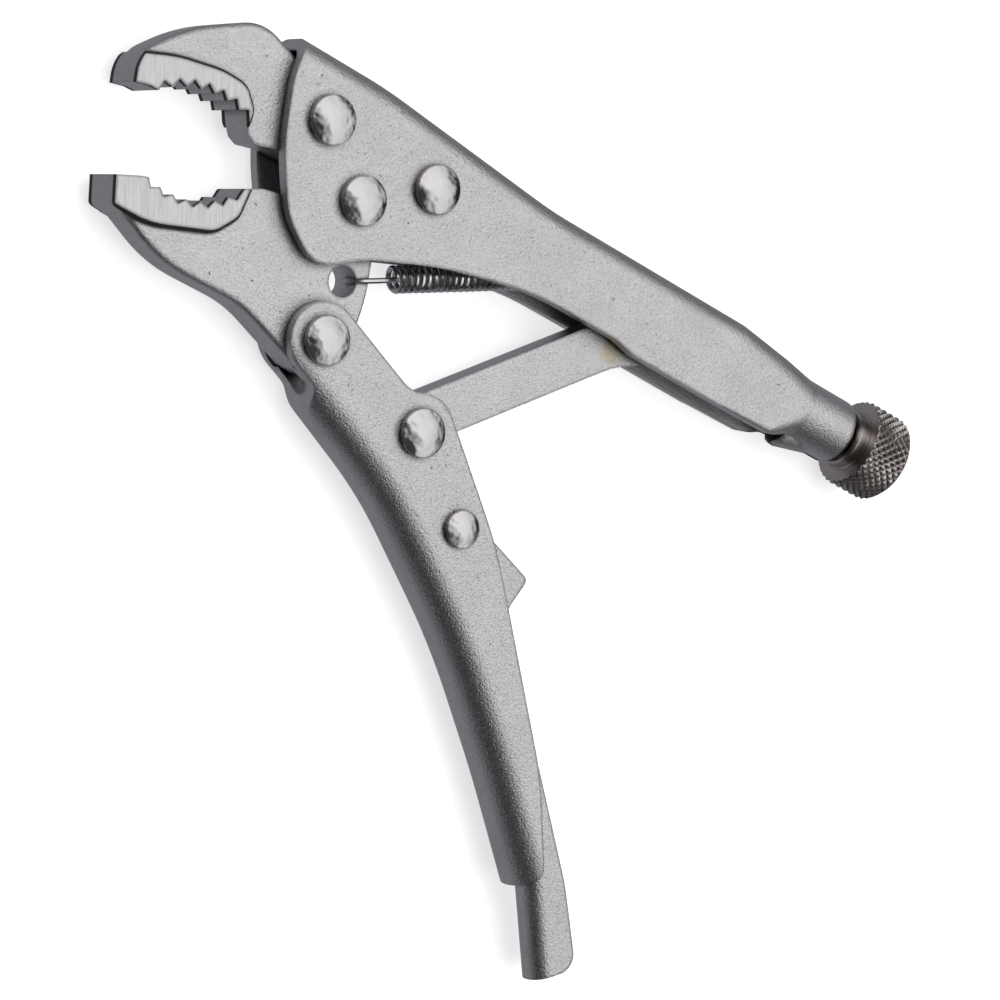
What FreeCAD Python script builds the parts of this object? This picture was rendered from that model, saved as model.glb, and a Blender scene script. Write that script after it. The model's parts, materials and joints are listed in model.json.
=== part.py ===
import FreeCAD, Part
import math
import os

# Curved-jaw locking pliers, 5 inch size, lying on one side. Millimetres.
# +X runs along the adjusting screw towards its knob, +Y points to the back of the fixed
# handle and +Z is the side that faces up. Everything is laid out from the jaw pivot and
# moved at export, so that the origin is the middle of the footprint on the ground.

# Driving dimensions
SHEET = 1.7                  # steel sheet of both handles
CHANNEL_HALF = 4.5           # half of the outside width of both handle channels
JAW_HALF = 2.7               # half of the thickness of a jaw's body
BITE_HALF = 3.6              # half of the thickness of a jaw's toothed part
LINK_HALF = 1.9              # half of the thickness of the toggle link
LINK_HUB_HALF = 2.7
LEVER_HALF = 2.65            # half of the outside width of the release lever
LEVER_SHEET = 1.1

JAW_PIVOT = (0.0, 0.0)
UPPER_JAW_RIVETS = ((-8.6, 7.1), (9.3, 6.2))
HANDLE_PIVOT = (3.0, -18.2)
LINK_PIVOT = (21.2, -22.8)
LEVER_PIVOT = (32.3, -31.5)
SCREW_Y = 6.3                # the screw's axis, above the jaw pivot

RIVET_RADIUS = 2.0
RIVET_HEAD = 3.2
RIVET_RIM = 0.9
RIVET_DOME = 0.6
LEVER_RIVET_RADIUS = 1.5
LEVER_RIVET_HEAD = 2.5
LEVER_RIVET_RIM = 0.7
LEVER_RIVET_DOME = 0.45
SEATED = 0.02                # radial gap where a rivet is tight
RUNNING = 0.05               # radial gap where a piece turns on a rivet
DEEP = 20.0                  # more than the thickness of any piece

BARREL_RADIUS = 4.6
BARREL_END = 85.6
SCREW_RADIUS = 3.175         # quarter-inch thread, 20 turns to the inch
SCREW_GAP = 0.05
LINK_END = 57.14             # where the link's end bears, along the screw's axis
OPEN_PIVOT_GAP = 1.7         # kept free between the link's end and the screw's tip
KNOB_RADIUS = 6.3
KNOB_START = 88.15
KNOB_LENGTH = 6.65
COLLAR_RADIUS = 4.1
COLLAR_LENGTH = 1.7
SPIGOT_RADIUS = 2.2          # end of the shank inside the knob
SPIGOT_LENGTH = 4.6

SPRING_RADIUS = 1.9
SPRING_WIRE = 0.325          # radius of the wire
SPRING_HOLE = (3.0, -10.0)
SPRING_HOLE_RADIUS = 2.05
SPRING_SLOPE = 27.0          # degrees from the screw's axis
SPRING_START = 8.5           # from the middle of its hole to the first coil
SPRING_LENGTH = 24.5
SPRING_REACH = 40.5          # from the middle of its hole to the slot in the back

# Place of the jaw pivot, from the middle of the footprint
PIVOT_AT = FreeCAD.Vector(-29.6, 32.3, KNOB_RADIUS)

X_AXIS = FreeCAD.Vector(1, 0, 0)
Z_AXIS = FreeCAD.Vector(0, 0, 1)


# Shared shapes

def point(x, y, z=0.0):
    return FreeCAD.Vector(x, y, z)


def turned(centre, reach, degrees):
    """Point at a reach from a centre, in a direction measured from +X."""
    angle = math.radians(degrees)
    return (centre[0] + reach * math.cos(angle), centre[1] + reach * math.sin(angle))


def beside(start, degrees, along, across, radius=0.0):
    """Corner a way along a slanted line and then square to it, to the left."""
    x, y = turned(turned(start, along, degrees), across, degrees + 90)
    return (x, y, radius)


def rounded_wire(corners):
    """Closed wire through corners (x, y) or (x, y, radius), with tangent arcs at the radii."""
    spots = [point(corner[0], corner[1]) for corner in corners]
    ends = []
    for index, corner in enumerate(corners):
        here = spots[index]
        radius = corner[2] if len(corner) > 2 else 0.0
        if radius == 0.0:
            ends.append((here, None, here))
            continue
        back = (spots[index - 1] - here).normalize()
        ahead = (spots[(index + 1) % len(spots)] - here).normalize()
        half = back.getAngle(ahead) / 2
        middle = (back + ahead).normalize()
        reach = radius / math.tan(half)
        crown = here + middle * (radius / math.sin(half) - radius)
        ends.append((here + back * reach, crown, here + ahead * reach))
    edges = []
    for index, (start, crown, stop) in enumerate(ends):
        before = ends[index - 1][2]
        if before.distanceToPoint(start) > 1e-6:
            edges.append(Part.makeLine(before, start))
        if crown is not None:
            edges.append(Part.Arc(start, crown, stop).toShape())
    return Part.Wire(edges)


def thicken(face, low, high):
    return face.extrude(point(0, 0, high - low)).translated(point(0, 0, low))


def plate(corners, low, high):
    """Flat plate with a rounded outline, between two heights."""
    return thicken(Part.Face(rounded_wire(corners)), low, high)


def drum(centre, radius, low, high):
    return Part.makeCylinder(radius, high - low, point(centre[0], centre[1], low), Z_AXIS)


def hole(centre, radius):
    return drum(centre, radius, -DEEP, DEEP)


def rod(radius, start, end, y=SCREW_Y):
    """Round bar along the screw's direction."""
    return Part.makeCylinder(radius, end - start, point(start, y), X_AXIS)


def edges_where(shape, chosen):
    """Edges whose middle point is chosen."""
    found = []
    for edge in shape.Edges:
        middle = edge.valueAt((edge.FirstParameter + edge.LastParameter) / 2)
        if chosen(edge, middle):
            found.append(edge)
    return found


def lies_flat(edge):
    return edge.BoundBox.ZLength < 1e-6


def bent_channel(corners, half, sheet, bend, on_back):
    """Sheet channel: a thick blank with its back edges rounded, less the room inside."""

    def back_edge(edge, middle):
        return lies_flat(edge) and on_back(middle)

    face = Part.Face(rounded_wire(corners))
    outside = thicken(face, -half, half)
    outside = outside.makeFillet(bend, edges_where(outside, back_edge))
    room = thicken(face.makeOffset2D(-sheet, 2), sheet - half, half - sheet)
    room = room.makeFillet(bend - sheet, edges_where(room, back_edge))
    return outside.cut(room)


def rivet(centre, radius, head, rim, dome):
    """Rivet with the same low domed head on both sides."""
    edge = CHANNEL_HALF + rim
    ball_radius = (head * head + dome * dome) / (2 * dome)
    half = drum(centre, radius, 0, edge).fuse(drum(centre, head, CHANNEL_HALF, edge))
    ball = Part.makeSphere(ball_radius, point(centre[0], centre[1], edge + dome - ball_radius))
    upper = half.fuse(ball.common(drum(centre, head, edge, edge + 2 * dome)))
    lower = upper.mirror(point(0, 0), Z_AXIS)
    return upper.fuse(lower).removeSplitter()


def teeth(centre, tip_radius, root_radius, first, pitch, count):
    """Tips and roots of a row of teeth on an arc, by angle from +X."""
    corners = []
    for index in range(count):
        tip = first + pitch * index
        corners.append(turned(centre, root_radius, tip - pitch / 2))
        corners.append(turned(centre, tip_radius, tip))
    corners.append(turned(centre, root_radius, first + pitch * (count - 0.5)))
    return corners


# Fixed handle

FIXED_BEND = 3.0
FIXED_BACK = 12.4            # height of the straight part of the back
FIXED_BACK_FRONT = 15.1
FIXED_EDGE = 0.3             # height of the straight lower edge
BOX_END = 63.0               # where the back starts to drop towards the barrel
WALLS_END = 72.0             # where the walls start to close into the barrel
ROUND_START = 77.0


def tail_section(x, half_width, low, high, low_radius, high_radius):
    """Rounded rectangle across the tail, as four arcs and four lines."""
    diagonal = math.sqrt(0.5)
    arcs = []
    for side, end in ((1, 1), (-1, 1), (-1, -1), (1, -1)):
        radius = high_radius if end > 0 else low_radius
        z = side * (half_width - radius)
        y = high - radius if end > 0 else low + radius
        on_side = point(x, y, z + side * radius)
        on_end = point(x, y + end * radius, z)
        crown = point(x, y + end * radius * diagonal, z + side * radius * diagonal)
        first, last = (on_side, on_end) if side * end > 0 else (on_end, on_side)
        arcs.append((first, crown, last))
    edges = []
    for index, (first, crown, last) in enumerate(arcs):
        edges.append(Part.Arc(first, crown, last).toShape())
        edges.append(Part.makeLine(last, arcs[(index + 1) % len(arcs)][0]))
    return Part.Wire(edges)


def round_section(x, radius):
    corner = radius * 0.97
    return tail_section(x, radius, SCREW_Y - radius, SCREW_Y + radius, corner, corner)


def fixed_handle_channel():
    blank = [
        (-22.0, -14.0),
        (-22.0, FIXED_BACK_FRONT),
        (-2.0, FIXED_BACK_FRONT, 60),
        (28.0, FIXED_BACK, 60),
        (BOX_END + 6, FIXED_BACK),
        (BOX_END + 6, -14.0),
    ]
    walls = [
        (-15.2, 20.0),
        (-15.9, 10.2, 14),
        (-13.1, 0.9, 28),
        (-8.6, -6.6, 9),
        (-2.6, -10.6, 4.4),
        (4.0, -6.4, 14),
        (14.8, -2.2, 60),
        (29.0, 1.0, 50),
        (43.6, 1.0, 6),
        (47.0, FIXED_EDGE, 6),
        (BOX_END, FIXED_EDGE),
        (BOX_END, 20.0),
    ]
    channel = bent_channel(blank, CHANNEL_HALF, SHEET, FIXED_BEND, lambda middle: middle.y > 9)
    return channel.common(plate(walls, -DEEP, DEEP))


def fixed_handle_tail():
    """The channel closing into the threaded barrel, with its seam underneath."""
    inside = CHANNEL_HALF - SHEET
    bore = SCREW_RADIUS + SCREW_GAP
    low, high = 0.45, 11.5
    open_low = -6.0
    skin = Part.makeLoft(
        [
            tail_section(BOX_END, CHANNEL_HALF, FIXED_EDGE, FIXED_BACK, 0.3, FIXED_BEND),
            tail_section(WALLS_END, CHANNEL_HALF, low, high, 0.6, FIXED_BEND + 0.6),
            round_section(ROUND_START, BARREL_RADIUS),
        ],
        True,
        True,
    )
    roof_bend = FIXED_BEND - SHEET
    room = Part.makeLoft(
        [
            tail_section(BOX_END, inside, open_low, FIXED_BACK - SHEET, 0.3, roof_bend),
            tail_section(WALLS_END, inside, open_low, high - SHEET, 0.3, roof_bend + 0.6),
            round_section(ROUND_START, bore - 0.1),
        ],
        True,
        True,
    )
    barrel = rod(BARREL_RADIUS, ROUND_START - 0.5, BARREL_END)
    barrel = barrel.makeFillet(1.1, edges_where(barrel, lambda edge, middle: middle.x > BARREL_END - 0.01))
    front, front_radius = point(76.4, 2.6), 2.3
    rear, rear_radius = point(82.6, 3.4), 1.6
    run = rear - front
    lips = Part.makeCone(front_radius, rear_radius, run.Length, front, run)
    lips = lips.fuse([Part.makeSphere(front_radius, front), Part.makeSphere(rear_radius, rear)])
    seam_half = 0.35
    seam = Part.makeBox(13.0, 6.0, 2 * seam_half, point(WALLS_END, SCREW_Y - 8.0, -seam_half))
    return skin.fuse([barrel, lips]).cut([room, seam])


def make_fixed_handle():
    handle = fixed_handle_channel().fuse(fixed_handle_tail()).removeSplitter()
    handle = handle.cut(rod(SCREW_RADIUS + SCREW_GAP, LINK_END, BARREL_END + 1))
    for centre in UPPER_JAW_RIVETS + (JAW_PIVOT,):
        handle = handle.cut(hole(centre, RIVET_RADIUS + SEATED))
    x, y = turned(SPRING_HOLE, SPRING_REACH, SPRING_SLOPE)
    slot_length, slot_half = 3.4, 0.7
    slot = Part.makeBox(slot_length, DEEP, 2 * slot_half, point(x - 1.2, y, -slot_half))
    return handle.cut(slot)


# Jaws

JAW_ROUNDING = 0.8


def toothed_jaw(outline, zone, ramp, on_back, on_ramp):
    """Plate with a rounded back, thicker in its toothed zone, which a short ramp leads up to."""

    def back_edge(edge, middle):
        return lies_flat(edge) and on_back(middle)

    def ramp_edge(edge, middle):
        return lies_flat(edge) and on_ramp(middle)

    body = plate(outline, -JAW_HALF, JAW_HALF)
    body = body.makeFillet(JAW_ROUNDING, edges_where(body, back_edge))
    room = plate(zone, -BITE_HALF, BITE_HALF)
    room = room.makeChamfer(ramp, edges_where(room, ramp_edge))
    bite = plate(outline, -BITE_HALF, BITE_HALF).common(room)
    return body.fuse(bite).removeSplitter()


def make_upper_jaw():
    outline = [
        (-34.9, -1.0),
        (-36.0, 2.6, 5),
        (-30.6, 8.9, 25),
        (-21.6, 14.4, 6),
        (-14.6, 12.2, 5),
        (14.6, 10.8),
        (14.6, 1.6, 4),
        (-13.3, 0.6, 3),
        (-16.1, -0.1, 1),
        (-17.4, 0.4, 0.5),
        (-18.3, 1.5),
    ]
    outline += teeth((-23.23, -9.61), 12.4, 13.35, 77.3, 9.2, 7)
    zone = [
        (-38.0, 2.0),
        (-31.0, 4.8, 20),
        (-24.5, 6.1, 10),
        (-20.6, 6.0, 3),
        (-18.1, 3.4, 3),
        (-18.1, -4.0),
        (-38.0, -4.0),
    ]
    jaw = toothed_jaw(
        outline,
        zone,
        0.4,
        lambda middle: middle.x < 14 and (middle.y > 6 or middle.x < -34.2),
        lambda middle: middle.x < -19 and middle.y > 0,
    )
    jaw = jaw.cut(hole(JAW_PIVOT, 5.4))
    for centre in UPPER_JAW_RIVETS:
        jaw = jaw.cut(hole(centre, RIVET_RADIUS + SEATED))
    return jaw


def make_lower_jaw():
    row = teeth((-24.93, 0.24), 11.4, 12.2, 253.5, 10.1, 7)
    outline = [
        (-32.35, -12.4),
        (-30.9, -15.9, 0.9),
        (-29.4, -16.0, 1),
        (-21.5, -19.3, 20),
        (-9.0, -19.1, 16),
        (2.0, -22.8),
        HANDLE_PIVOT,
        (7.7, -17.8),
        (7.0, -10.4, 20),
        (4.9, -2.8),
        JAW_PIVOT,
        (-4.8, -1.4),
        (-8.0, -3.6, 3),
        (-12.6, -4.6, 2),
        (-15.4, -6.0, 0.5),
    ]
    outline += reversed(row)
    zone = [
        (-38.0, -16.1),
        (-25.5, -16.1, 14),
        (-16.6, -12.9, 4),
        (-14.2, -9.6, 3),
        (-14.2, -2.0),
        (-38.0, -2.0),
    ]
    jaw = toothed_jaw(
        outline,
        zone,
        0.5,
        lambda middle: middle.x < 0 and middle.y < -15,
        lambda middle: middle.x > -35 and middle.y < -2.1,
    )
    lobes = drum(JAW_PIVOT, 5.0, -JAW_HALF, JAW_HALF).fuse(drum(HANDLE_PIVOT, 4.6, -JAW_HALF, JAW_HALF))
    jaw = jaw.fuse(lobes).removeSplitter()
    for centre in (JAW_PIVOT, HANDLE_PIVOT):
        jaw = jaw.cut(hole(centre, RIVET_RADIUS + RUNNING))
    return jaw.cut(hole(SPRING_HOLE, SPRING_HOLE_RADIUS))


# Movable handle and what it carries

def make_movable_handle():
    blank = [
        (-17.0, -17.24),
        (19.5, -32.9, 60),
        (38.5, -46.2, 100),
        (52.0, -58.9, 150),
        (72.0, -79.6),
        (96.0, -50.0),
        (5.0, 15.0),
    ]
    walls = [
        turned(HANDLE_PIVOT, 4.9, 69),
        (17.5, -18.6, 5),
        (22.6, -17.1, 5),
        (38.5, -31.3, 60),
        (58.5, -55.8, 40),
        (65.3, -67.9, 2.2),
        (61.0, -72.0),
        (50.0, -75.0),
        (9.0, -36.0),
        (7.2, -27.9, 1),
        (5.6, -26.2, 1.5),
        (4.6, -24.0, 2),
        turned(HANDLE_PIVOT, 4.9, 247),
        HANDLE_PIVOT,
    ]
    handle = bent_channel(blank, CHANNEL_HALF, SHEET, 4.2, lambda middle: middle.x + middle.y < -4.5)
    handle = handle.common(plate(walls, -DEEP, DEEP).fuse(hole(HANDLE_PIVOT, 4.9)))
    inside = CHANNEL_HALF - SHEET
    handle = handle.cut(drum(HANDLE_PIVOT, 4.9, -inside, inside))
    for centre in (HANDLE_PIVOT, LINK_PIVOT):
        handle = handle.cut(hole(centre, RIVET_RADIUS + SEATED))
    return handle.cut(hole(LEVER_PIVOT, LEVER_RIVET_RADIUS + SEATED)).removeSplitter()


def make_toggle_link():
    """Bar from the movable handle into the fixed handle, bent towards the screw's axis."""
    slope = 44.0
    above, below = 4.1, 2.4
    knee = turned(LINK_PIVOT, 33.3, slope)
    tip = (LINK_END, SCREW_Y)
    rise = math.degrees(math.atan2(tip[1] - knee[1], tip[0] - knee[0]))
    reach = math.hypot(tip[0] - knee[0], tip[1] - knee[1])
    outline = [
        beside(LINK_PIVOT, slope, -3.9, above, 3.1),
        beside(knee, (slope + rise) / 2, 0, above, 14),
        beside(knee, rise, reach, 2.4, 2.3),
        beside(knee, rise, reach, -2.4, 2.3),
        beside(knee, (slope + rise) / 2, 0, -below, 14),
        beside(LINK_PIVOT, slope, -3.9, -below, 3.1),
    ]
    link = plate(outline, -LINK_HALF, LINK_HALF)
    link = link.fuse(drum(LINK_PIVOT, 3.6, -LINK_HUB_HALF, LINK_HUB_HALF)).removeSplitter()
    return link.cut(hole(LINK_PIVOT, RIVET_RADIUS + RUNNING))


def make_release_lever():
    blank = [
        (15.2, -27.3),
        (39.8, -44.5, 80),
        (53.5, -57.4, 150),
        (64.3, -68.85, 25),
        (76.6, -88.5),
        (95.0, -70.0),
        (40.0, -10.0),
    ]
    walls = [
        turned(LEVER_PIVOT, 3.0, 71.6),
        (46.1, -32.9, 0.9),
        (44.9, -37.8, 4),
        (46.6, -43.2, 5),
        (58.6, -54.2, 20),
        (69.8, -67.0, 30),
        (76.6, -76.7, 2.6),
        (69.2, -82.3),
        (60.0, -80.0),
        (34.0, -42.0),
        turned(LEVER_PIVOT, 3.0, 200),
        LEVER_PIVOT,
    ]
    lever = bent_channel(blank, LEVER_HALF, LEVER_SHEET, 2.4, lambda middle: middle.x + middle.y < 0)
    lever = lever.common(plate(walls, -DEEP, DEEP).fuse(hole(LEVER_PIVOT, 3.0)))
    return lever.cut(hole(LEVER_PIVOT, LEVER_RIVET_RADIUS + RUNNING)).removeSplitter()


# Adjusting screw and spring

def make_adjusting_screw():
    tip = LINK_END + OPEN_PIVOT_GAP
    shank = rod(SCREW_RADIUS, tip, KNOB_START - COLLAR_LENGTH)
    shank = shank.makeChamfer(0.6, edges_where(shank, lambda edge, middle: middle.x < tip + 0.01))
    return shank.fuse(rod(SPIGOT_RADIUS, tip + 5, KNOB_START + SPIGOT_LENGTH)).removeSplitter()


def make_adjusting_knob():
    end = KNOB_START + KNOB_LENGTH
    head = rod(KNOB_RADIUS, KNOB_START, end)
    head = head.makeChamfer(0.9, edges_where(head, lambda edge, middle: middle.x > end - 0.01))
    head = head.makeChamfer(0.35, edges_where(head, lambda edge, middle: middle.x < KNOB_START + 0.01))
    collar = rod(COLLAR_RADIUS, KNOB_START - COLLAR_LENGTH, KNOB_START + 0.5)
    socket = rod(SPIGOT_RADIUS + SCREW_GAP, KNOB_START - 3, KNOB_START + SPIGOT_LENGTH + SCREW_GAP)
    return head.fuse(collar).removeSplitter().cut(socket)


def wire_run(spots):
    """Round wire through points, with a ball at each bend."""
    run = []
    for index, spot in enumerate(spots[:-1]):
        ahead = spots[index + 1] - spot
        run.append(Part.makeCylinder(SPRING_WIRE, ahead.Length, spot, ahead))
        if index > 0:
            run.append(Part.makeSphere(SPRING_WIRE, spot))
    return run


def make_jaw_spring():
    """Close-wound coil as a tube, with the wire of both hooks."""
    slope = math.radians(SPRING_SLOPE)
    axis = point(math.cos(slope), math.sin(slope))
    origin = point(*SPRING_HOLE)
    first = origin + axis * SPRING_START
    last = first + axis * SPRING_LENGTH
    coil = Part.makeCylinder(SPRING_RADIUS, SPRING_LENGTH, first, axis)
    coil = coil.cut(Part.makeCylinder(SPRING_RADIUS - 2 * SPRING_WIRE, SPRING_LENGTH, first, axis))
    rim = origin + axis * (SPRING_HOLE_RADIUS - SPRING_WIRE - SEATED)
    over = point(0, 0, JAW_HALF + SPRING_WIRE + SEATED)
    edge = SPRING_RADIUS - SPRING_WIRE
    front = [
        rim,
        rim + over,
        origin + axis * (SPRING_START - 2.5) + over,
        first + axis * 1.0 + point(0, 0, edge),
    ]
    side = point(-math.sin(slope), math.cos(slope)) * edge
    slot = origin + axis * (SPRING_REACH + 0.2)
    rear = [last - axis * 1.0 + side, slot, slot + point(0, SHEET + 0.4)]
    return coil.fuse(wire_run(front) + wire_run(rear))


def make_parts():
    body = (RIVET_RADIUS, RIVET_HEAD, RIVET_RIM, RIVET_DOME)
    small = (LEVER_RIVET_RADIUS, LEVER_RIVET_HEAD, LEVER_RIVET_RIM, LEVER_RIVET_DOME)
    return {
        "fixed_handle": make_fixed_handle(),
        "upper_jaw": make_upper_jaw(),
        "upper_jaw_front_rivet": rivet(UPPER_JAW_RIVETS[0], *body),
        "upper_jaw_rear_rivet": rivet(UPPER_JAW_RIVETS[1], *body),
        "lower_jaw": make_lower_jaw(),
        "jaw_pivot_rivet": rivet(JAW_PIVOT, *body),
        "movable_handle": make_movable_handle(),
        "handle_pivot_rivet": rivet(HANDLE_PIVOT, *body),
        "toggle_link": make_toggle_link(),
        "link_pivot_rivet": rivet(LINK_PIVOT, *body),
        "release_lever": make_release_lever(),
        "release_lever_rivet": rivet(LEVER_PIVOT, *small),
        "adjusting_screw": make_adjusting_screw(),
        "adjusting_knob": make_adjusting_knob(),
        "jaw_spring": make_jaw_spring(),
    }


os.makedirs("parts", exist_ok=True)
for name, shape in make_parts().items():
    shape.translated(PIVOT_AT).exportStep("parts/" + name + ".step")
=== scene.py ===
import bpy
import json
import math
from mathutils import Matrix, Vector


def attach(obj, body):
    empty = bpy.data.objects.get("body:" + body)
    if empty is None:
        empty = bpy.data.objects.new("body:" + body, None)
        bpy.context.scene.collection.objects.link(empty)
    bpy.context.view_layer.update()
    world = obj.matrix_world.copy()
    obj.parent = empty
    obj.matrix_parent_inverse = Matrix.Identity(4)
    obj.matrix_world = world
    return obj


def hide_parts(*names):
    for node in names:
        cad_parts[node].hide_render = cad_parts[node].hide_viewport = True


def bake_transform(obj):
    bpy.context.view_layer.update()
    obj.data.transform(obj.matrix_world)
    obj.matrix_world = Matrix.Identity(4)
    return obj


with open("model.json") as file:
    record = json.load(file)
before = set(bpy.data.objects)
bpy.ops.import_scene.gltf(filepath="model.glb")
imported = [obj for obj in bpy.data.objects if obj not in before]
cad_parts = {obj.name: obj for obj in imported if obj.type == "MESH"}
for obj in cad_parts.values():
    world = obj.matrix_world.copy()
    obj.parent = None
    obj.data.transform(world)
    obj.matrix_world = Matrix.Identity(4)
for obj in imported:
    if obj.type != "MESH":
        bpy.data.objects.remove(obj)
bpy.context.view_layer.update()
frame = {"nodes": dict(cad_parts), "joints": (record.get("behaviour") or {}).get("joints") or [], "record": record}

# Curved-jaw locking pliers lying on one side. Metres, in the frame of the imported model.
MM = 0.001
joints = {joint["name"]: joint for joint in frame["joints"]}
PIVOT = Vector(joints["jaw_turn"]["pos_m"])      # the jaw pivot, which other places are given from

# Adjusting screw and knob, in millimetres from the jaw pivot
SCREW_Y = 6.3
SCREW_TIP = 58.84
SCREW_RADIUS = 3.175
THREAD_PITCH = 1.27
THREAD_DEPTH = 0.6
COLLAR_START = 86.45
COLLAR_RADIUS = 4.1
KNOB_START = 88.15
KNOB_END = 94.8
KNOB_RADIUS = 6.3
KNURL_COUNT = 32             # diamonds round the knob
KNURL_DEPTH = 0.42

KNURL_FLAT = 1.25            # more than 1 leaves a flat top on each diamond and thread
KNOB_EDGE = 0.35             # bevel of the knob's inner edge
KNOB_BEVEL = 0.9             # bevel of the knob's outer edge
KNOB_DISH = 3.4              # radius of the shallow hollow in the knob's end

# Jaws, in millimetres
JAW_HALF = 2.7               # half of the thickness of a jaw's body
BITE_HALF = 3.6              # half of the thickness of its toothed part

# Jaw spring, in millimetres
WIRE = 0.38                  # radius of the wire
COIL_RADIUS = 1.51           # to the middle of the wire
COIL_PITCH = 0.98
HOOK_LIFT = 3.0              # of the front hook's wire, over the lower jaw's side
COIL_START = 8.5             # from the middle of its hole
COIL_LENGTH = 24.5
HOLE = (3.0, -10.0)
HOLE_RIM = 1.7
SLOT_REACH = 40.6
SPRING_SLOPE = math.radians(27.0)


def spot(x, y, z=0.0):
    """Place given in millimetres from the jaw pivot."""
    return PIVOT + Vector((x, y, z)) * MM


# Camera

VIEW_BACK = Vector((-0.5177, -0.1693, 0.8386))   # from the pliers towards the camera
VIEW_UP = Vector((-0.4074, 0.9107, -0.0677))
VIEW_MIDDLE = spot(36.2, -25.6, 4.5)
VIEW_DISTANCE = 0.5346
LENS = 147.24
SENSOR = 36.0


def make_camera():
    back = VIEW_BACK.normalized()
    right = VIEW_UP.cross(back).normalized()
    up = back.cross(right)
    data = bpy.data.cameras.new("camera")
    data.lens = LENS
    data.sensor_width = SENSOR
    data.clip_start = 0.01
    camera = bpy.data.objects.new("camera", data)
    bpy.context.scene.collection.objects.link(camera)
    turn = Matrix((right, up, back)).transposed().to_4x4()
    camera.matrix_world = Matrix.Translation(VIEW_MIDDLE + back * VIEW_DISTANCE) @ turn
    bpy.context.scene.camera = camera


# Node helpers

class Nodes:
    """A material's node tree, with short ways to add and join nodes."""

    def __init__(self, tree):
        self.tree = tree

    def add(self, kind, inputs=None, **settings):
        node = self.tree.nodes.new(kind)
        for name, value in settings.items():
            setattr(node, name, value)
        for name, value in (inputs or {}).items():
            self.put(node.inputs[name], value)
        return node

    def put(self, socket, value):
        if isinstance(value, bpy.types.NodeSocket):
            self.tree.links.new(value, socket)
        else:
            socket.default_value = value

    def math(self, operation, first, second=0.0):
        node = self.add("ShaderNodeMath", operation=operation)
        self.put(node.inputs[0], first)
        self.put(node.inputs[1], second)
        return node.outputs[0]

    def mix(self, factor, first, second):
        node = self.add("ShaderNodeMix", data_type="RGBA")
        self.put(node.inputs[0], factor)
        self.put(node.inputs[6], first)
        self.put(node.inputs[7], second)
        return node.outputs[2]

    def ramp(self, value, low, high, start, end):
        """Value from low to high turned into start to end."""
        return self.add("ShaderNodeMapRange", {0: value, 1: low, 2: high, 3: start, 4: end}).outputs[0]

    def noise(self, scale, detail=2.0, roughness=0.5, vector=None):
        node = self.add("ShaderNodeTexNoise", {"Scale": scale, "Detail": detail, "Roughness": roughness})
        self.put(node.inputs["Vector"], vector or self.place())
        return node.outputs[0]

    def place(self):
        return self.add("ShaderNodeTexCoord").outputs["Object"]

    def along(self, direction):
        """Distance of the shaded place along a direction."""
        return self.add(
            "ShaderNodeVectorMath", {0: self.place(), 1: direction}, operation="DOT_PRODUCT"
        ).outputs["Value"]

    def eased_edges(self, radius):
        """Normal that turns over a radius at each edge."""
        return self.add("ShaderNodeBevel", {"Radius": radius}, samples=4).outputs[0]

    def crevice(self, reach, low, high):
        """1 in corners and gaps narrower than the reach, 0 out in the open."""
        node = self.add("ShaderNodeAmbientOcclusion", {"Distance": reach}, samples=8)
        return self.ramp(node.outputs["AO"], low, high, 1.0, 0.0)


def new_material(name):
    material = bpy.data.materials.new(name)
    material.use_nodes = True
    nodes = Nodes(material.node_tree)
    shader = material.node_tree.nodes["Principled BSDF"]
    shader.inputs["Metallic"].default_value = 1.0
    return material, nodes, shader


def inside_node(node, place):
    """A place of the row's frame in a CAD node's own coordinates."""
    return place - frame["nodes"][node].matrix_world.translation


# Materials

NICKEL = (0.735, 0.725, 0.73, 1)
GROUND = (0.62, 0.61, 0.615, 1)
PIT = (0.10, 0.09, 0.085, 1)
# dark brown mixed into corners, seams and steps: partly real grime, partly painted shade
GRIME_AND_SHADE = (0.07, 0.05, 0.035, 1)
STAIN = (0.70, 0.62, 0.42, 1)
STAIN_AT = spot(45.0, 0.1, 1.9)      # on the toggle link, where it enters the fixed handle
GRIND = Vector((0.91, 0.41, 0.0))    # across the grinding lines of the tooth faces


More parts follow.
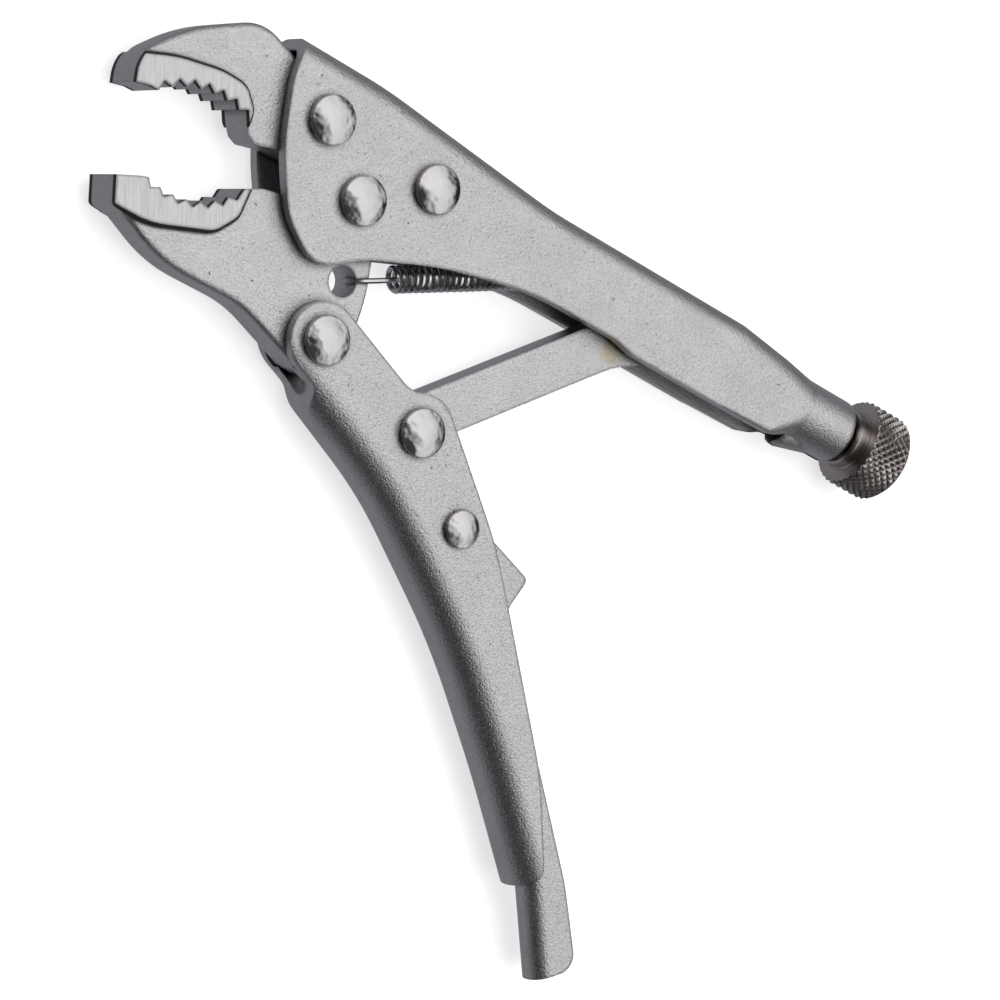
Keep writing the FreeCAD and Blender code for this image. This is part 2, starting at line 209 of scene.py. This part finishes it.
def plated_steel(name, jaw=None, stained=None):
    """Satin nickel plating with a fine orange peel, dark pits, and dark brown in the seams that is partly grime
    and partly painted shade.
    """
    material, nodes, shader = new_material(name)
    cloud = nodes.noise(160, 3.0, 0.6)
    grain = nodes.noise(3300, 3.0, 0.65)
    pits = nodes.ramp(nodes.noise(1700, 3.0, 0.7), 0.31, 0.26, 0.0, 1.0)
    specks = nodes.ramp(nodes.noise(4200, 2.0, 0.6), 0.42, 0.30, 0.0, 0.40)
    tone = nodes.ramp(cloud, 0.3, 0.7, 0.95, 1.04)
    colour = nodes.add("ShaderNodeHueSaturation", {"Color": NICKEL, "Value": tone}).outputs[0]
    colour = nodes.mix(nodes.math("MAXIMUM", nodes.math("MULTIPLY", pits, 0.75), specks), colour, PIT)
    height = nodes.math("SUBTRACT", grain, nodes.math("MULTIPLY", pits, 0.5))
    rough = nodes.ramp(grain, 0.2, 0.8, 0.26, 0.40)
    if stained:
        away = nodes.add(
            "ShaderNodeVectorMath", {0: nodes.place(), 1: stained}, operation="DISTANCE"
        ).outputs["Value"]
        spread = nodes.math("ADD", away, nodes.math("MULTIPLY", nodes.noise(500), 2.4 * MM))
        colour = nodes.mix(nodes.ramp(spread, 2.2 * MM, 3.4 * MM, 0.75, 0.0), colour, STAIN)
    if jaw:
        colour, height, rough = ground_faces(nodes, jaw, colour, height, rough)
    # painted shade with grime: dark brown in corners and gaps between parts, found by ambient occlusion
    seams = nodes.math("MULTIPLY", nodes.crevice(1.7 * MM, 0.35, 0.85), 0.9)
    colour = nodes.mix(seams, colour, GRIME_AND_SHADE)
    nodes.put(shader.inputs["Base Color"], colour)
    nodes.put(shader.inputs["Roughness"], rough)
    edges = nodes.eased_edges(0.6 * MM)
    peel = {"Strength": 1.0, "Distance": 0.12 * MM, "Height": height, "Normal": edges}
    bump = nodes.add("ShaderNodeBump", peel)
    nodes.put(shader.inputs["Normal"], bump.outputs[0])
    return material


def ground_faces(nodes, jaw, colour, height, rough):
    """Ground steel on a jaw's toothed part, and a dark seam on the step round it that is partly grime and partly
    painted shade.
    """
    middle = inside_node(jaw, PIVOT).z
    out = nodes.math("ABSOLUTE", nodes.math("SUBTRACT", nodes.along((0, 0, 1)), middle))
    face = nodes.ramp(out, (BITE_HALF - 0.10) * MM, (BITE_HALF - 0.02) * MM, 0.0, 1.0)
    raised = nodes.ramp(out, (JAW_HALF + 0.02) * MM, (JAW_HALF + 0.10) * MM, 0.0, 1.0)
    step = nodes.math("MULTIPLY", raised, nodes.math("SUBTRACT", 1.0, face))
    across = nodes.math("MULTIPLY", nodes.along(GRIND), 4200)
    down = nodes.math("MULTIPLY", nodes.along(GRIND.cross(Vector((0, 0, 1)))), 160)
    lines = nodes.noise(1.0, 2.0, 0.6, nodes.add("ShaderNodeCombineXYZ", {0: across, 1: down}).outputs[0])
    tone = nodes.ramp(lines, 0.3, 0.7, 0.86, 1.10)
    ground = nodes.add("ShaderNodeHueSaturation", {"Color": GROUND, "Value": tone}).outputs[0]
    colour = nodes.mix(face, colour, ground)
    # the step painted dark brown: partly grime, partly painted shade where it drops to the toothed face
    colour = nodes.mix(nodes.math("MULTIPLY", step, 0.9), colour, GRIME_AND_SHADE)
    ground_height = nodes.math("MULTIPLY", lines, 0.35)
    height = nodes.add("ShaderNodeMix", {0: face, 2: height, 3: ground_height}, data_type="FLOAT").outputs[0]
    rough = nodes.add("ShaderNodeMix", {0: step, 2: rough, 3: 0.6}, data_type="FLOAT").outputs[0]
    return colour, height, rough


def rivet_steel():
    material, nodes, shader = new_material("rivet_steel")
    shader.inputs["Roughness"].default_value = 0.13
    # painted shade with grime: a dark brown ring where each head meets the sheet, found by ambient occlusion
    colour = nodes.mix(nodes.crevice(1.2 * MM, 0.3, 0.85), (0.60, 0.58, 0.58, 1), GRIME_AND_SHADE)
    nodes.put(shader.inputs["Base Color"], colour)
    edges = nodes.eased_edges(0.3 * MM)
    hammered = {"Strength": 1.0, "Distance": 0.26 * MM, "Height": nodes.noise(380), "Normal": edges}
    bump = nodes.add("ShaderNodeBump", hammered)
    nodes.put(shader.inputs["Normal"], bump.outputs[0])
    return material


def dark_steel():
    material, nodes, shader = new_material("dark_steel")
    cloud = nodes.noise(500, 3.0, 0.6)
    colour = nodes.mix(cloud, (0.40, 0.365, 0.345, 1), (0.78, 0.73, 0.70, 1))
    # painted shade with grime: dark brown in the knurl's hollows, the thread and tight corners, found by ambient
    # occlusion
    colour = nodes.mix(nodes.crevice(0.7 * MM, 0.3, 0.9), colour, GRIME_AND_SHADE)
    nodes.put(shader.inputs["Base Color"], colour)
    shader.inputs["Roughness"].default_value = 0.30
    return material


def spring_steel():
    material, nodes, shader = new_material("spring_steel")
    colour = nodes.mix(nodes.noise(900), (0.52, 0.52, 0.53, 1), (0.80, 0.80, 0.82, 1))
    nodes.put(shader.inputs["Base Color"], colour)
    shader.inputs["Roughness"].default_value = 0.22
    return material


def set_material(node, material):
    slots = frame["nodes"][node].data.materials
    slots.clear()
    slots.append(material)


def make_materials():
    dark = dark_steel()
    return {
        "plated_sheet": plated_steel("plated_sheet"),
        "toggle_link": plated_steel("plated_link", stained=inside_node("toggle_link", STAIN_AT)),
        "upper_jaw": plated_steel("plated_upper_jaw", jaw="upper_jaw"),
        "lower_jaw": plated_steel("plated_lower_jaw", jaw="lower_jaw"),
        "rivet_steel": rivet_steel(),
        "dark_steel": dark,
        "spring_steel": spring_steel(),
    }


def dress(materials):
    for part in frame["record"]["subparts"]:
        node = part["node"]
        set_material(node, materials.get(node) or materials[part["material_slot"]])


# Screw, knob and spring

def add_piece(name, mesh, material):
    mesh.materials.append(material)
    mesh.set_sharp_from_angle(angle=math.radians(28))
    piece = bpy.data.objects.new(name, mesh)
    bpy.context.scene.collection.objects.link(piece)
    return piece


def turned_mesh(name, stations, around):
    """Closed mesh about the screw's axis, from stations (x, radius by angle)."""
    points = []
    faces = []
    for x, radius in stations:
        for step in range(around):
            angle = 2 * math.pi * step / around
            reach = radius(angle)
            points.append(spot(x, SCREW_Y + reach * math.cos(angle), reach * math.sin(angle)))
    for ring in range(len(stations) - 1):
        for step in range(around):
            ahead = (step + 1) % around
            low, high = ring * around, (ring + 1) * around
            faces.append((low + step, high + step, high + ahead, low + ahead))
    for ring, flip in ((0, False), (len(stations) - 1, True)):
        centre = len(points)
        points.append(spot(stations[ring][0], SCREW_Y))
        for step in range(around):
            pair = (ring * around + step, ring * around + (step + 1) % around)
            faces.append((centre,) + (pair[::-1] if flip else pair))
    mesh = bpy.data.meshes.new(name)
    mesh.from_pydata(points, [], faces)
    mesh.shade_smooth()
    mesh.update()
    return mesh


def ridge(turns):
    """Triangle wave, 0 at whole turns and 1 half way."""
    return 1 - abs(2 * (turns % 1.0) - 1)


def thread_radius(x):
    """Radius of the thread by angle, fading in over the screw's bevelled tip."""
    lead_in = min(1.0, (x - SCREW_TIP) / 0.6 + 0.15)

    def radius(angle):
        crest = min(1.0, KNURL_FLAT * ridge(x / THREAD_PITCH - angle / (2 * math.pi)))
        return SCREW_RADIUS - THREAD_DEPTH + THREAD_DEPTH * crest * lead_in

    return radius


def knurl_radius(x):
    """Radius of the diamond knurl by angle, cut off by the bevels of the knob's edges."""
    pitch = 2 * math.pi * KNOB_RADIUS / KNURL_COUNT
    shift = (x - KNOB_START) / pitch
    inner = KNOB_RADIUS - KNOB_EDGE + (x - KNOB_START)
    limit = min(inner, KNOB_END - KNOB_BEVEL + KNOB_RADIUS - x)

    def radius(angle):
        turns = KNURL_COUNT * angle / (2 * math.pi)
        crest = min(1.0, KNURL_FLAT * min(ridge(turns + shift), ridge(turns - shift)))
        return min(limit, KNOB_RADIUS - KNURL_DEPTH * (1 - crest))

    return radius


def spaced(start, end, count):
    return [start + (end - start) * index / count for index in range(count + 1)]


def make_screw(material):
    stations = [(x, thread_radius(x)) for x in spaced(SCREW_TIP, COLLAR_START + 0.2, 220)]
    screw = add_piece("threaded_screw", turned_mesh("threaded_screw", stations, 48), material)
    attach(screw, "screw")
    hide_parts("adjusting_screw")


def make_knob(material):
    def smooth(radius):
        return lambda angle: radius

    stations = [
        (COLLAR_START, smooth(COLLAR_RADIUS - 0.25)),
        (COLLAR_START + 0.25, smooth(COLLAR_RADIUS)),
        (KNOB_START - 0.2, smooth(COLLAR_RADIUS)),
        (KNOB_START, smooth(COLLAR_RADIUS + 0.2)),
    ]
    stations += [(x, knurl_radius(x)) for x in spaced(KNOB_START, KNOB_END, 44)]
    stations.append((KNOB_END, smooth(KNOB_DISH)))
    stations.append((KNOB_END - 0.3, smooth(KNOB_DISH - 0.4)))
    knob = add_piece("knurled_knob", turned_mesh("knurled_knob", stations, 256), material)
    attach(knob, "knob")
    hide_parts("adjusting_knob")


def eased(spots):
    """The same run with its bends eased, keeping both ends."""
    for _ in range(2):
        cut = [spots[0]]
        for first, second in zip(spots, spots[1:]):
            cut.append(first.lerp(second, 0.2))
            cut.append(first.lerp(second, 0.8))
        spots = cut + [spots[-1]]
    return spots


def make_spring(material):
    """Close coil with a hook at both ends, as one wire."""
    axis = Vector((math.cos(SPRING_SLOPE), math.sin(SPRING_SLOPE), 0))
    side = Vector((-axis.y, axis.x, 0))
    up = Vector((0, 0, 1))
    hole = Vector(HOLE + (0,))
    turns = round(COIL_LENGTH / COIL_PITCH - 0.75) + 0.25
    helix = []
    for step in range(int(turns * 24) + 1):
        angle = 2 * math.pi * step / 24
        run = COIL_START + WIRE + (COIL_LENGTH - 2 * WIRE) * step / (turns * 24)
        helix.append(hole + axis * run + (up * math.cos(angle) + side * math.sin(angle)) * COIL_RADIUS)
    rim = hole + axis * HOLE_RIM
    front = [rim, rim + up * HOOK_LIFT, hole + axis * (COIL_START - 2.2) + up * HOOK_LIFT, helix[0]]
    slot = hole + axis * SLOT_REACH
    rear = [helix[-1], slot, slot + Vector((0, 1.9, 0))]
    run = eased(front)[:-1] + helix + eased(rear)[1:]
    curve = bpy.data.curves.new("coil", "CURVE")
    curve.dimensions = "3D"
    curve.bevel_depth = WIRE * MM
    curve.bevel_resolution = 2
    curve.use_fill_caps = True
    line = curve.splines.new("POLY")
    line.points.add(len(run) - 1)
    for target, place in zip(line.points, run):
        target.co = tuple(PIVOT + place * MM) + (1.0,)
    shape = bpy.data.objects.new("coil", curve)
    bpy.context.scene.collection.objects.link(shape)
    bpy.context.view_layer.update()
    mesh = bpy.data.meshes.new_from_object(shape.evaluated_get(bpy.context.evaluated_depsgraph_get()))
    bpy.data.objects.remove(shape)
    bpy.data.curves.remove(curve)
    mesh.shade_smooth()
    spring = add_piece("coiled_spring", mesh, material)
    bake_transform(spring)
    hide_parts("jaw_spring")


# Studio

DARK_PANEL = Vector((-0.42, -0.74, 0.52))        # way towards the dark panel


def make_floor():
    size = 4.0
    bpy.ops.mesh.primitive_plane_add(size=size, location=(0, 0, 0))
    floor = bpy.context.object
    floor.name = "floor"
    material, _, shader = new_material("floor")
    shader.inputs["Metallic"].default_value = 0.0
    shader.inputs["Base Color"].default_value = (0.8, 0.8, 0.8, 1)
    shader.inputs["Roughness"].default_value = 0.9
    shader.inputs["Emission Color"].default_value = (1, 1, 1, 1)
    shader.inputs["Emission Strength"].default_value = 0.65
    floor.data.materials.append(material)
    floor.visible_glossy = False


def make_world():
    """Bright overhead with a dark panel on one side, dark at the horizon and grey below."""
    world = bpy.data.worlds.new("studio")
    bpy.context.scene.world = world
    world.use_nodes = True
    nodes = Nodes(world.node_tree)
    way = nodes.add("ShaderNodeTexCoord").outputs["Generated"]
    up = nodes.add("ShaderNodeSeparateXYZ", {0: way})
    ramp = nodes.add("ShaderNodeValToRGB")
    stops = ((0.0, 0.24), (0.42, 0.24), (0.52, 0.02), (0.68, 0.03), (0.80, 0.92), (1.0, 1.28))
    while len(ramp.color_ramp.elements) < len(stops):
        ramp.color_ramp.elements.new(0.5)
    for element, (place, level) in zip(ramp.color_ramp.elements, stops):
        element.position = place
        element.color = (level, level, level * (1.1 if place < 0.5 else 1.01), 1)
    height = nodes.math("MULTIPLY", nodes.math("ADD", up.outputs[2], 1.0), 0.5)
    nodes.put(ramp.inputs[0], height)
    facing = nodes.add(
        "ShaderNodeVectorMath", {0: way, 1: DARK_PANEL.normalized()}, operation="DOT_PRODUCT"
    ).outputs["Value"]
    panel = nodes.ramp(facing, 0.28, 0.60, 0.0, 0.97)
    above = nodes.ramp(height, 0.44, 0.54, 0.0, 1.0)
    colour = nodes.mix(nodes.math("MULTIPLY", panel, above), ramp.outputs[0], (0.02, 0.018, 0.017, 1))
    background = world.node_tree.nodes["Background"]
    nodes.put(background.inputs[0], colour)
    background.inputs[1].default_value = 1.0


def make_lights():
    data = bpy.data.lights.new("overhead", "AREA")
    data.shape = "RECTANGLE"
    data.size = 0.8
    data.size_y = 0.8
    data.energy = 4
    light = bpy.data.objects.new("overhead", data)
    light.location = (0.0, 0.0, 0.9)
    light.visible_glossy = False
    bpy.context.scene.collection.objects.link(light)


make_camera()
palette = make_materials()
dress(palette)
make_screw(palette["dark_steel"])
make_knob(palette["dark_steel"])
make_spring(palette["spring_steel"])
make_floor()
make_world()
make_lights()
bpy.context.scene.view_settings.view_transform = "Standard"
